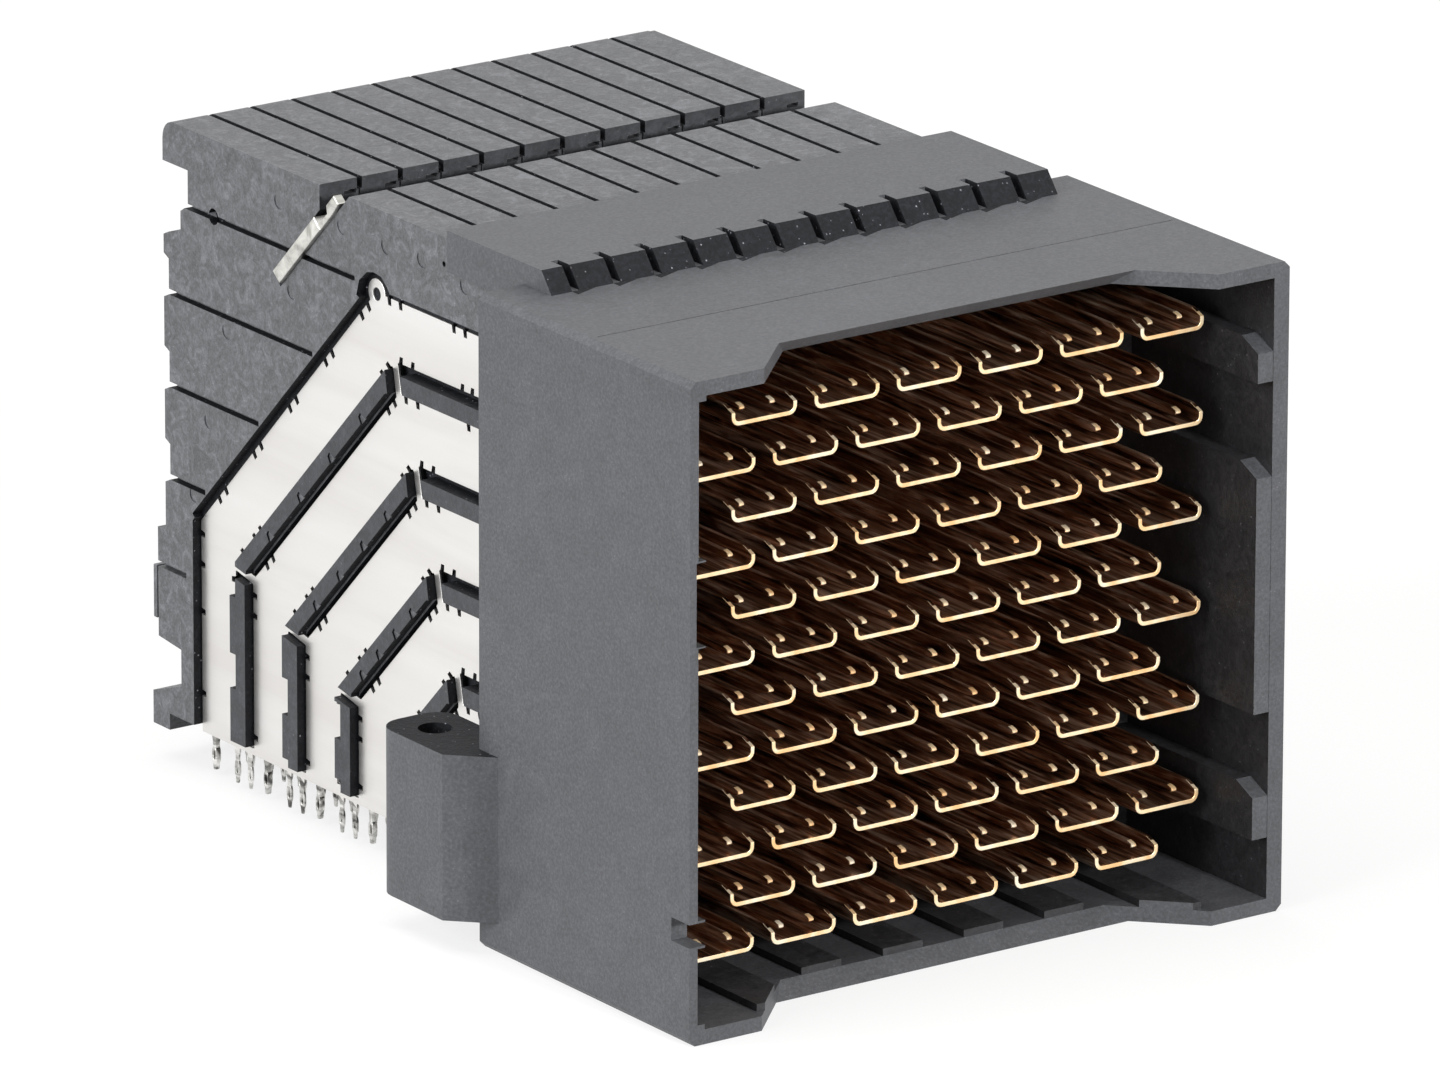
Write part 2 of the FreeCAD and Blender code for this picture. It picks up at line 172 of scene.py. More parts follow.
def plastic(name):
    look = plastics[name]
    material, tree = newMaterial(name)
    place = addNode(tree, "ShaderNodeTexCoord").outputs["Object"]
    grain = addNode(tree, "ShaderNodeTexNoise",
                    {"Scale": perMm(look["grain"]), "Detail": 3.0, "Roughness": 0.7}, {"Vector": place})
    cloud = addNode(tree, "ShaderNodeTexNoise",
                    {"Scale": perMm(look["cloud"]), "Detail": 5.0, "Roughness": 0.62, "Distortion": 1.4},
                    {"Vector": place})
    cloudTone = toneRamp(tree, cloud.outputs["Fac"], plasticPattern["cloudStops"], look)
    grainTone = toneRamp(tree, grain.outputs["Fac"], plasticPattern["grainStops"], look)
    mixed = addNode(tree, "ShaderNodeMix",
                    {"data_type": "RGBA", "blend_type": "MIX", "Factor": look["clouds"]},
                    {6: cloudTone, 7: grainTone})
    # pale specks, in patches
    cells = addNode(tree, "ShaderNodeTexVoronoi",
                    {"Scale": perMm(look["grain"] * plasticPattern["speckCells"]), "Randomness": 1.0},
                    {"Vector": place})
    specks = ramp(tree, cells.outputs["Distance"], [(0.0, 1.0), (plasticPattern["speckEdge"], 0.0)])
    patches = ramp(tree, cloud.outputs["Fac"], zip(plasticPattern["speckPatches"], (0.0, 1.0)))
    amount = addNode(tree, "ShaderNodeMath", {"operation": "MULTIPLY"}, {0: specks, 1: patches})
    share = addNode(tree, "ShaderNodeMath",
                    {"operation": "MULTIPLY", 1: look["speckAmount"] * plasticPattern["speckGain"]},
                    {0: amount.outputs[0]})
    speckled = addNode(tree, "ShaderNodeMix", {"data_type": "RGBA", 7: linear(look["speck"])},
                       {0: share.outputs[0], 6: mixed.outputs[2]})
    # roughness and height follow the same clouds
    roughness = addNode(tree, "ShaderNodeMapRange", {"To Min": look["rough"] - plasticPattern["smoother"],
                                                     "To Max": look["rough"] + plasticPattern["rougher"]},
                        {"Value": cloud.outputs["Fac"]})
    height = addNode(tree, "ShaderNodeMath", {"operation": "MULTIPLY_ADD", 1: look["flow"]},
                     {0: cloud.outputs["Fac"], 2: grain.outputs["Fac"]})
    bump = addNode(tree, "ShaderNodeBump",
                   {"Strength": look["bump"], "Distance": plasticPattern["bumpDepth"] * mm},
                   {"Height": height.outputs[0]})
    shader = addNode(tree, "ShaderNodeBsdfPrincipled",
                     {"IOR": plasticPattern["ior"], "Specular IOR Level": look["specular"]},
                     {"Base Color": speckled.outputs[2], "Roughness": roughness.outputs[0],
                      "Normal": bump.outputs[0]})
    addNode(tree, "ShaderNodeOutputMaterial", {}, {"Surface": shader.outputs[0]})
    return material


metals = {
    "tinned_plate": {  # matte tin on rolled sheet: an even pale grey with a soft sheen
        "base": "#E0DEDB", "light": "#E4E2E0", "dark": "#DAD7D4", "rough": 0.34, "grain": 0.06, "cloud": 2.4,
        "bump": 0.03, "metallic": 1.0},
    "steel_strip": {  # rolled stainless strip: fine lines along it
        "base": "#C9C8C2", "light": "#E4E3DD", "dark": "#8F8E88", "rough": 0.30, "grain": 0.05, "cloud": 0.8,
        "bump": 0.15, "metallic": 1.0},
    "tin_tail": {  # bright tin on a narrow leg: strong light and dark bands
        "base": "#BDBCB8", "light": "#EDECE9", "dark": "#5A5957", "rough": 0.3, "grain": 0.05, "cloud": 0.35,
        "bump": 0.05, "metallic": 1.0},
    "gold_contact": {  # thin gold on formed copper alloy: reddish, dark streaks where it mirrors the shroud
        "base": "#A87858", "light": "#FFDFC4", "dark": "#34201A", "rough": 0.3, "grain": 0.05, "cloud": 0.3,
        "bump": 0.06, "metallic": 0.93},
    "gold_painted_highlight": {  # painted highlight: a paler, less metallic copy of the gold on faces that look forwards, standing in for the light that the cut front edges catch in a pale warm line
        "base": "#FFE2B4", "light": "#FFF2D8", "dark": "#FBC88C", "rough": 0.3, "grain": 0.05, "cloud": 1.2,
        "bump": 0.04, "metallic": 0.5},
}
metalPattern = {"stops": (0.33, 0.5, 0.68), "smoother": 0.06, "rougher": 0.1, "bumpDepth": 0.02,
                "alongY": (1, 0.08, 1), "alongX": (0.06, 1, 1)}


def metal(name, streak=metalPattern["alongY"]):
    look = metals[name]
    material, tree = newMaterial(name)
    place = addNode(tree, "ShaderNodeTexCoord").outputs["Object"]
    rolled = addNode(tree, "ShaderNodeMapping", {"Scale": streak}, {"Vector": place})
    grain = addNode(tree, "ShaderNodeTexNoise", {"Scale": perMm(look["grain"]), "Detail": 2.0},
                    {"Vector": rolled.outputs[0]})
    cloud = addNode(tree, "ShaderNodeTexNoise",
                    {"Scale": perMm(look["cloud"]), "Detail": 4.0, "Distortion": 0.6},
                    {"Vector": rolled.outputs[0]})
    tone = toneRamp(tree, cloud.outputs["Fac"], metalPattern["stops"], look)
    roughness = addNode(tree, "ShaderNodeMapRange", {"To Min": look["rough"] - metalPattern["smoother"],
                                                     "To Max": look["rough"] + metalPattern["rougher"]},
                        {"Value": grain.outputs["Fac"]})
    bump = addNode(tree, "ShaderNodeBump",
                   {"Strength": look["bump"], "Distance": metalPattern["bumpDepth"] * mm},
                   {"Height": grain.outputs["Fac"]})
    shader = addNode(tree, "ShaderNodeBsdfPrincipled", {"Metallic": look["metallic"]},
                     {"Base Color": tone, "Roughness": roughness.outputs[0], "Normal": bump.outputs[0]})
    addNode(tree, "ShaderNodeOutputMaterial", {}, {"Surface": shader.outputs[0]})
    return material


shroudPlastic = plastic("shroud_plastic")
waferPlastic = plastic("wafer_plastic")
etchedPlasticAndPaintedShade = plastic("etched_plastic_and_painted_shade")
paintedShadeInnerPlastic = plastic("painted_shade_inner_plastic")
ribPlastic = plastic("rib_plastic")
tinnedPlate = metal("tinned_plate")
steelStrip = metal("steel_strip", metalPattern["alongX"])
tinTail = metal("tin_tail")
goldContact = metal("gold_contact")
goldPaintedHighlight = metal("gold_painted_highlight")


# shared mesh work
def linkedObject(name, data):
    piece = bpy.data.objects.new(name, data)
    scene.collection.objects.link(piece)
    return piece


def evaluated(piece):
    # the piece's modifiers are worked into a plain mesh, and the object is removed
    bpy.context.view_layer.update()
    shown = piece.evaluated_get(bpy.context.evaluated_depsgraph_get())
    mesh = bpy.data.meshes.new_from_object(shown)
    data = piece.data
    bpy.data.objects.remove(piece)
    if data.users == 0:
        store = bpy.data.curves if isinstance(data, bpy.types.Curve) else bpy.data.meshes
        store.remove(data)
    return mesh


def finishPiece(name, mesh, slotName, *replaced):
    piece = linkedObject(name, mesh)
    mesh.name = name
    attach(piece, "root")
    if replaced:
        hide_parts(*replaced)
    return piece


def meshFrom(form, name):
    mesh = bpy.data.meshes.new(name)
    form.to_mesh(mesh)
    form.free()
    return mesh


def cadCopy(node):
    # a node's triangles merged and its flat faces made whole again
    source = nodes[node].data
    form = bmesh.new()
    corners = [form.verts.new(v.co) for v in source.vertices]
    for face in source.polygons:
        form.faces.new([corners[i] for i in face.vertices])
    bmesh.ops.remove_doubles(form, verts=form.verts, dist=0.001 * mm)
    bmesh.ops.dissolve_limit(form, angle_limit=0.005, verts=form.verts, edges=form.edges)
    return meshFrom(form, node + "_shape")


def joined(meshes):
    form = bmesh.new()
    kept = list(meshes[0].materials)
    for mesh in meshes:
        form.from_mesh(mesh)
        bpy.data.meshes.remove(mesh)
    whole = bpy.data.meshes.new("joined")
    for material in kept:
        whole.materials.append(material)
    form.to_mesh(whole)
    form.free()
    return whole


def boxMesh(low, high):
    form = bmesh.new()
    bmesh.ops.create_cube(form, size=1)
    for vert in form.verts:
        vert.co = Vector([(a + b) / 2 + c * (b - a) for a, b, c in zip(low, high, vert.co)]) * mm
    return meshFrom(form, "box")


def prismMesh(points, x0, x1):
    # an outline of (y, z) points between two places along X
    form = bmesh.new()
    near = [form.verts.new(Vector((x0, y, z)) * mm) for y, z in points]
    far = [form.verts.new(Vector((x1, y, z)) * mm) for y, z in points]
    form.faces.new(near)
    form.faces.new(far[::-1])
    for k in range(len(points)):
        form.faces.new((near[k - 1], near[k], far[k], far[k - 1]))
    bmesh.ops.recalc_face_normals(form, faces=form.faces)
    return meshFrom(form, "prism")


def cutBy(mesh, cutters, crossing=False, operation="DIFFERENCE"):
    piece = linkedObject("cutting", mesh)
    tool = linkedObject("cutters", joined(cutters))
    cut = piece.modifiers.new("cut", "BOOLEAN")
    cut.operation = operation
    cut.solver = "EXACT"
    cut.use_self = crossing
    cut.object = tool
    mesh = evaluated(piece)
    bpy.data.objects.remove(tool)
    return mesh


def volume(mesh):
    form = bmesh.new()
    form.from_mesh(mesh)
    size = form.calc_volume(signed=True) / mm ** 3
    form.free()
    return size


def cutInGroups(mesh, groups):
    # a group whose result has lost more than its own volume is cut again with the slower method
    for name, cutters in groups.items():
        most = sum(volume(cut) for cut in cutters) * 1.05
        before = volume(mesh)
        for crossing in (False, True):
            result = cutBy(mesh.copy(), [cut.copy() for cut in cutters], crossing)
            if before - most < volume(result) <= before + 0.01:
                mesh = result
                break
        else:
            print("cut left out:", name)
    return mesh


def cutAndSoften(mesh, cutters, width, segments=2):
    if cutters:
        mesh = cutBy(mesh, cutters)
    piece = linkedObject("softening", mesh)
    bevel = piece.modifiers.new("soft edges", "BEVEL")
    bevel.width = width * mm
    bevel.segments = segments
    bevel.limit_method = "ANGLE"
    bevel.angle_limit = math.radians(25)
    bevel.use_clamp_overlap = True
    bevel.harden_normals = True
    for face in piece.data.polygons:
        face.use_smooth = True
    return evaluated(piece)


def rounded(points, radius, steps=4):
    # replaces each corner with an arc of that radius, or less where a side is short
    result = []
    for index, corner in enumerate(points):
        corner = Vector(corner)
        before = Vector(points[index - 1]) - corner
        after = Vector(points[(index + 1) % len(points)]) - corner
        turn = before.angle(after)
        if turn > math.radians(170):
            result.append(corner)
            continue
        reach = min(radius / math.tan(turn / 2), before.length * 0.45, after.length * 0.45)
        size = reach * math.tan(turn / 2)
        inward = (before.normalized() + after.normalized()).normalized()
        middle = corner + inward * (size / math.sin(turn / 2))
        start = corner + before.normalized() * reach - middle
        end = corner + after.normalized() * reach - middle
        swing = start.angle_signed(end)
        for step in range(steps + 1):
            angle = -swing * step / steps
            result.append(middle + Matrix.Rotation(angle, 2) @ start)
    return result


def around(centre, radius, degrees):
    angle = math.radians(degrees)
    return centre[0] + radius * math.cos(angle), centre[1] + radius * math.sin(angle)


def ring(centre, radius, steps=24):
    return [(centre[0] + radius * math.cos(k * math.tau / steps),
             centre[1] + radius * math.sin(k * math.tau / steps)) for k in range(steps)]


def sheetMesh(outlines, x0, x1, edge):
    # flat outlines of (y, z), holes among them, thickened from x0 to x1, with rounded edges
    curve = bpy.data.curves.new("sheet", "CURVE")
    curve.dimensions = "2D"
    curve.fill_mode = "BOTH"
    curve.extrude = ((x1 - x0) / 2 - edge) * mm
    curve.bevel_depth = edge * mm
    curve.bevel_resolution = 1
    curve.offset = -edge * mm
    for outline in outlines:
        spline = curve.splines.new("POLY")
        spline.points.add(len(outline) - 1)
        for point, place in zip(spline.points, outline):
            point.co = (place[0] * mm, place[1] * mm, 0, 1)
        spline.use_cyclic_u = True
    mesh = evaluated(linkedObject("sheet", curve))
    mesh.transform(Matrix(((0, 0, 1, (x0 + x1) / 2 * mm), (1, 0, 0, 0), (0, 1, 0, 0), (0, 0, 0, 1))))
    return mesh


def smoothed(mesh, degrees=35):
    # smooth shading, kept sharp at edges that turn by more than this
    form = bmesh.new()
    form.from_mesh(mesh)
    bmesh.ops.remove_doubles(form, verts=form.verts, dist=0.0005 * mm)
    for face in form.faces:
        face.smooth = True
    for edge in form.edges:
        edge.smooth = len(edge.link_faces) == 2 and edge.calc_face_angle(0) < math.radians(degrees)
    form.to_mesh(mesh)
    form.free()
    return mesh


def setMaterial(mesh, *materials):
    mesh.materials.clear()
    for material in materials:
        mesh.materials.append(material)


def faceMaterial(mesh, chosen, index):
    # chosen is asked with each face's centre in mm and its normal
    for face in mesh.polygons:
        if chosen(face.center / mm, face.normal):
            face.material_index = index


def splitAcross(mesh, z):
    # faces that cross this height are split there, so that a finish can end at it
    form = bmesh.new()
    form.from_mesh(mesh)
    bmesh.ops.bisect_plane(form, geom=form.verts[:] + form.edges[:] + form.faces[:], plane_co=(0, 0, z * mm),
                           plane_no=(0, 0, 1))
    form.to_mesh(mesh)
    form.free()
    return mesh


# a row of like pieces: the tree repeats the object's own mesh from start on, step by step
def rowTree():
    tree = bpy.data.node_groups.new("row of pieces", "GeometryNodeTree")
    for name, kind in (("Geometry", "Geometry"), ("Count", "Int"), ("Start", "Vector"), ("Step", "Vector"),
                       ("Material", "Material"), ("Highlight Material", "Material")):
        tree.interface.new_socket(name, in_out="INPUT", socket_type="NodeSocket" + kind)
    tree.interface.new_socket("Geometry", in_out="OUTPUT", socket_type="NodeSocketGeometry")
    given = addNode(tree, "NodeGroupInput").outputs
    line = addNode(tree, "GeometryNodeMeshLine", {"mode": "OFFSET"},
                   {"Count": given["Count"], "Start Location": given["Start"], "Offset": given["Step"]})
    placed = addNode(tree, "GeometryNodeInstanceOnPoints", {},
                     {"Points": line.outputs[0], "Instance": given["Geometry"]})
    real = addNode(tree, "GeometryNodeRealizeInstances", {}, {"Geometry": placed.outputs[0]})
    painted = addNode(tree, "GeometryNodeSetMaterial", {},
                      {"Geometry": real.outputs[0], "Material": given["Material"]})
    # faces that look forwards get the painted highlight material
    normal = addNode(tree, "GeometryNodeInputNormal").outputs[0]
    facing = addNode(tree, "ShaderNodeSeparateXYZ", {}, {0: normal})
    forward = addNode(tree, "ShaderNodeMath", {"operation": "LESS_THAN", 1: -0.3}, {0: facing.outputs["Y"]})
    highlighted = addNode(tree, "GeometryNodeSetMaterial", {},
                    {"Geometry": painted.outputs[0], "Selection": forward.outputs[0],
                     "Material": given["Highlight Material"]})
    addNode(tree, "NodeGroupOutput", {}, {"Geometry": highlighted.outputs[0]})
    return tree


rowOfPieces = rowTree()


def inRow(mesh, count, start, step, material, highlightMaterial):
    piece = linkedObject("row", mesh)
    modifier = piece.modifiers.new("row", "NODES")
    modifier.node_group = rowOfPieces
    values = {"Count": count, "Start": [v * mm for v in start], "Step": [v * mm for v in step],
              "Material": material, "Highlight Material": highlightMaterial}
    for item in rowOfPieces.interface.items_tree:
        if item.in_out == "INPUT" and item.name in values:
            modifier[item.identifier] = values[item.name]
    return evaluated(piece)


# contact shields: a U of sheet with round bends, its legs' front ends raked back
print("contact shields")
shield = {"front": 3.3, "back": 16.2, "width": 3.55, "thickness": 0.2, "leg": 0.9, "bend": 0.42,
          "rakeY": 0.72, "rakeZ": 0.28, "bendSteps": 5, "edge": 0.035}


def shieldSection():
    # pairs of (outer, inner) points across the U, from the left leg's top to the right leg's
    half, thick, bend = shield["width"] / 2, shield["thickness"], shield["bend"]
    top, rake = shield["leg"], shield["leg"] - shield["rakeZ"]
    left = [((-half, z), (-half + thick, z)) for z in (top, (top + rake) / 2, rake)]
    for step in range(shield["bendSteps"] + 1):
        angle = math.pi + math.pi / 2 * step / shield["bendSteps"]
        turn = (math.cos(angle), math.sin(angle))
        left.append(tuple((-half + bend + r * turn[0], bend + r * turn[1]) for r in (bend, bend - thick)))
    right = [tuple((-x, z) for x, z in pair) for pair in reversed(left)]
    return left + right


def shieldMesh():
    section = shieldSection()
    form = bmesh.new()
    rings = []
    for y, atFront in ((shield["front"], True), (shield["back"], False)):
        ringVerts = []
        for pair in section:
            verts = []
            for x, z in pair:
                lift = max(0, z - shield["leg"] + shield["rakeZ"]) / shield["rakeZ"] if atFront else 0
                verts.append(form.verts.new(Vector((x, y + lift * shield["rakeY"], z)) * mm))
            ringVerts.append(verts)
        rings.append(ringVerts)
    front, back = rings
    for a in range(len(section) - 1):
        b = a + 1
        form.faces.new((front[a][0], front[b][0], back[b][0], back[a][0]))
        form.faces.new((front[b][1], front[a][1], back[a][1], back[b][1]))
        form.faces.new((front[a][1], front[b][1], front[b][0], front[a][0]))
        form.faces.new((back[a][0], back[b][0], back[b][1], back[a][1]))
    for a in (0, len(section) - 1):
        form.faces.new((front[a][0], back[a][0], back[a][1], front[a][1]))
    bmesh.ops.recalc_face_normals(form, faces=form.faces)
    return cutAndSoften(meshFrom(form, "shield"), [], shield["edge"])


for number in range(grid["wafers"]):
    lowest = rowZ(2 * (grid["pairs"] - 1) + 1 - number % 2)
    mesh = inRow(shieldMesh(), grid["pairs"], (columnX(number), 0, lowest), (0, 0, 2 * grid["pitch"]),
                 goldContact, goldPaintedHighlight)
    tag = "contact_shields_%02d" % (number + 1)
    finishPiece(tag + "_formed", mesh, "gold_contact", tag)


# signal leads: stamped strips with a rounded pin in front and a sprung needle eye below
print("signal leads")
lead = {"half": 0.19, "left": (-0.90, -0.62), "right": (0.75, 1.03), "pinFront": 3.95, "pinRise": 0.55,
        "halfGap": 0.52, "sum": 52.98, "sumStep": 6.15, "farY": 43.2, "step": 4.35, "tailTop": 0.3,
        "tailLow": -1.3, "edge": 0.05, "tinHigh": 1.2, "goldEnd": 0.35,
        "nose": ((0.38, 1), (0.06, 0.55), (0, 0.2)),  # way back from the tip, and share of the half height
        "sink": 0.42, "jogY": 16.2, "jogThickness": 0.38, "jogOver": 0.4}
eye = {"neck": 0.12, "bulge": 0.2, "hole": 0.075, "holeShare": 0.62, "shoulder": 0.05, "top": -0.22,
       "bottom": -0.98, "tip": 0.07, "steps": 8, "holeSteps": 14}


def eyeSide(y, side, low):
    # one side of a needle-eye tail, from its neck down to its tip
    middle = (eye["top"] + eye["bottom"]) / 2
    reach = (eye["top"] - eye["bottom"]) / 2
    points = [(y + side * eye["neck"], eye["shoulder"])]
    for k in range(eye["steps"] + 1):
        angle = math.pi * k / eye["steps"]
        swell = eye["neck"] + (eye["bulge"] - eye["neck"]) * math.sin(angle)
        points.append((y + side * swell, middle + reach * math.cos(angle)))
    points.append((y + side * eye["tip"], low))
    return points


def eyeHole(y):
    middle = (eye["top"] + eye["bottom"]) / 2
    reach = (eye["top"] - eye["bottom"]) / 2 * eye["holeShare"]
    return [(y + eye["hole"] * math.sin(a), middle + reach * math.cos(a))
            for a in [math.tau * k / eye["holeSteps"] for k in range(eye["holeSteps"])]]


def pinNose(start, z):
    # the pin's rounded front end, from its lower side to its upper one
    half = lead["half"]
    return ([(start + back, z - half * share) for back, share in lead["nose"]]
            + [(start + back, z + half * share) for back, share in lead["nose"][::-1]])


def leadOutline(z, slant, y, start, pointed):
    # level from the front at height z, slanted where y + z is slant, then down to the tail at y
    half = lead["half"]
    tail = eyeSide(y, 1, lead["tailLow"]) + eyeSide(y, -1, lead["tailLow"])[::-1]
    if slant - z > y - 4 * half:  # too little room for the slanted run
        upper = [(y + half, z + half)]
        lower = [(y - half, z - half)]
    else:
        upper = [(slant + half - z - half, z + half), (y + half, slant + half - y - half)]
        lower = [(y - half, slant - half - y + half), (slant - half - z + half, z - half)]
    front = pinNose(start, z) if pointed else [(start, z - half), (start, z + half)]
    return front + upper + [(y + half, lead["tailTop"])] + tail + [(y - half, lead["tailTop"])] + lower


for number in range(grid["wafers"]):
    x = columnX(number)
    sheets = []
    for side, (x0, x1) in ((1, lead["left"]), (-1, lead["right"])):
        # the first wafer's left leads lie deeper behind the pins, and a jog joins the two
        sink = lead["sink"] if number == 0 and side == 1 else 0
        outlines = []
        pins = []
        for pair in range(grid["pairs"]):
            z = rowZ(2 * pair + 1 - number % 2) + lead["pinRise"]
            slant = lead["sum"] - pair * lead["sumStep"] + side * lead["halfGap"]
            y = lead["farY"] - pair * lead["step"] + side * lead["halfGap"]
            outlines.append(leadOutline(z, slant, y, lead["jogY"] if sink else lead["pinFront"], not sink))
            outlines.append(eyeHole(y))
            if sink:
                pinBack = lead["jogY"] + lead["jogOver"]
                pins.append(pinNose(lead["pinFront"], z)
                            + [(pinBack, z + lead["half"]), (pinBack, z - lead["half"])])
                sheets.append(boxMesh((x + x0, lead["jogY"], z - lead["half"]),
                                      (x + x1 + sink, lead["jogY"] + lead["jogThickness"], z + lead["half"])))
        sheets.append(sheetMesh(outlines, x + x0 + sink, x + x1 + sink, lead["edge"]))
        if pins:
            sheets.append(sheetMesh(pins, x + x0, x + x1, lead["edge"]))
    mesh = splitAcross(smoothed(joined(sheets)), lead["tinHigh"])
    setMaterial(mesh, goldContact, tinTail, goldPaintedHighlight)
    faceMaterial(mesh, lambda c, n: c.z < lead["tinHigh"], 1)
    # painted highlight on the front faces of the tips, but not on those that look down
    faceMaterial(mesh, lambda c, n: c.y < lead["pinFront"] + lead["goldEnd"]
                 and n.y < -0.12 and n.z > -0.5, 2)
    tag = "signal_leads_%02d" % (number + 1)
    finishPiece(tag + "_stamped", mesh, "gold_contact", tag)


# ground plates: the first lies sunk in its wafer, with slots that the wafer's ribs stand through
print("ground plates")
plate = {"thickness": 0.12, "left": -1.10, "sink": 0.42, "front": 16.9, "low": 0.44, "back": 44.37,
         "sum": 55.15, "overRow": 1.915, "firstRise": 0.13, "shifts": (1.72, 2.81), "tailHalf": 0.2,
         "tailTop": 0.25, "edge": 0.02, "tinHigh": 0.35, "cutSide": 0.3, "eyelet": 0.69, "eyeletHole": 0.31,
         "eyeletDrop": 0.05, "eyeletArc": (178, -15.5, 15)}  # degrees at the start, per step, and points
window = {"count": 4, "half": 0.73, "halfSum": 0.88, "z": 21.85, "sum": 49.91, "y": 40.75, "strap": 0.2,
          "start": 17.9, "low": 0.78, "corner": 0.08}
# nicks in the edges that the plastic is moulded into; a place below 0 counts from the edge's far end
nick = {"width": 0.32, "length": 0.33, "lean": 0.06, "over": 0.1, "taper": 0.8,
        "outerSlant": (0.72, 1.27, 3.7, 4.25, 6.68, 7.23, 9.66, 10.21, 12.6, 13.15),  # measured along Y
        "outerTop": (1.0, 1.9, 6.2, 7.1), "outerBack": (0.6, 2.1, 4.4, 8.4),
        "levelHigh": (0.25, 1.2, 5.2, 6.0), "levelLow": (0.35, 1.3, 5.4),
        "slantBack": (0.3, 1.0, -2.9, -2.2, -0.8), "slantFront": (0.3, 1.0, -2.0, -1.3),
        "dropBack": (0.45, -0.4), "dropFront": (0.5, 1.5, -0.6), "leastSlant": 2.5, "leastDrop": 3}


def plateHigh(kind, first=False):
    return rowZ(1 - kind) + plate["overRow"] + (plate["firstRise"] if first else 0)


def tailOutline(y, top):
    half, low = plate["tailHalf"], plate["tailTop"]
    sides = eyeSide(y, -1, lead["tailLow"]) + eyeSide(y, 1, lead["tailLow"])[::-1]
    return [(y - half, top), (y - half, low)] + sides + [(y + half, low), (y + half, top)]


def plateOutline(kind, first):
    high = plateHigh(kind, first)
    outline = [(plate["front"], plate["low"]), (plate["front"], high)]
    if first:  # a round eyelet at the upper rear corner
        turn, step, count = plate["eyeletArc"]
        centre = (plate["sum"] - high, high)
        outline += [around(centre, plate["eyelet"], turn + k * step) for k in range(count)]
    else:
        outline.append((plate["sum"] - high, high))
    outline += [(plate["back"], plate["sum"] - plate["back"]), (plate["back"], plate["low"])]
    tails = sorted(lead["farY"] - pair * lead["step"] - shift for pair in range(grid["pairs"] - 1)
                   for shift in plate["shifts"])
    for y in reversed(tails):
        outline += tailOutline(y, plate["low"])[::-1]
    return outline, [eyeHole(y) for y in tails]


def windowBands(fit):
    # each slot between two lead pairs, in three parts with the plate's straps between them
    bands = []
    gap = window["strap"] + fit
    half = window["half"] - fit
    halfSum = window["halfSum"] - fit * math.sqrt(2)
    for k in range(window["count"]):
        z = window["z"] - k * 2 * grid["pitch"]
        total = window["sum"] - k * lead["sumStep"]
        y = window["y"] - k * lead["step"]
        upper, lower = total + halfSum, total - halfSum
        high = (upper - z - half, z + half), (lower - z + half, z - half)
        low = (y + half, upper - y - half), (y - half, lower - y + half)
        bands.append([(window["start"] + fit, z + half), (high[0][0] - gap, z + half),
                      (high[1][0] - gap, z - half), (window["start"] + fit, z - half)])
        bands.append([(high[0][0] + gap, high[0][1] - gap), (low[0][0] - gap, low[0][1] + gap),
                      (low[1][0] - gap, low[1][1] + gap), (high[1][0] + gap, high[1][1] - gap)])
        bands.append([(y + half, low[0][1] - gap), (y + half, window["low"] + fit),
                      (y - half, window["low"] + fit), (y - half, low[1][1] - gap)])
    return bands


def tickPoints(a, b, inward, places):
    # outlines of narrow nicks along the edge from a to b, cut to the side that inward points to
    a, b, inward = Vector(a), Vector(b), Vector(inward).normalized()
    along = (b - a).normalized()
    length = (b - a).length
    ticks = []
    for place in places:
        foot = a + along * (place if place >= 0 else length + place)
        side = along * nick["width"] / 2
        tip = foot + inward * nick["length"] + along * nick["lean"]
        ticks.append([foot - side - inward * nick["over"], foot + side - inward * nick["over"],
                      tip + side * nick["taper"], tip - side * nick["taper"]])
    return ticks


def plateTicks():
    high = plateHigh(0, True)
    corner = (plate["sum"] - high, high)
    low = (plate["back"], plate["sum"] - plate["back"])
    ticks = tickPoints(corner, low, (-1, -1), [v * math.sqrt(2) for v in nick["outerSlant"]])
    ticks += tickPoints(corner, (plate["front"], high), (0, -1), nick["outerTop"])
    ticks += tickPoints(low, (plate["back"], plate["low"]), (-1, 0), nick["outerBack"])
    parts = windowBands(0)
    for k in range(window["count"]):
        level, slant, drop = parts[3 * k:3 * k + 3]
        ticks += tickPoints(level[1], level[0], (0, 1), nick["levelHigh"])
        ticks += tickPoints(level[2], level[3], (0, -1), nick["levelLow"])
        length = (Vector(slant[0]) - Vector(slant[1])).length
        if length > nick["leastSlant"]:
            ticks += tickPoints(slant[0], slant[1], (1, 1), nick["slantBack"])
            ticks += tickPoints(slant[3], slant[2], (-1, -1), nick["slantFront"])
        if drop[0][1] - drop[1][1] > nick["leastDrop"]:
            ticks += tickPoints(drop[0], drop[1], (1, 0), nick["dropBack"])
            ticks += tickPoints(drop[3], drop[2], (-1, 0), nick["dropFront"])
    return ticks


for number in range(grid["wafers"]):
    kind = number % 2
    x = columnX(number) + plate["left"] + (plate["sink"] if number == 0 else 0)
    outline, holes = plateOutline(kind, number == 0)
    if number == 0:
        high = plateHigh(0, True)
        holes.append(ring((plate["sum"] - high, high - plate["eyeletDrop"]), plate["eyeletHole"]))
        holes += [rounded(band, window["corner"], 2) for band in windowBands(0)]
    mesh = smoothed(sheetMesh([outline] + holes, x, x + plate["thickness"], plate["edge"]))
    if number == 0:
        for points in plateTicks():
            mesh = cutBy(mesh, [prismMesh(points, x - plate["cutSide"], x + plate["cutSide"])])
        mesh = smoothed(mesh, 20)
    setMaterial(mesh, tinnedPlate, tinTail)
    faceMaterial(mesh, lambda c, n: c.z < plate["tinHigh"], 1)
    tag = "ground_plate_%02d" % (number + 1)
    finishPiece(tag + "_stamped", mesh, "tinned_plate", tag)


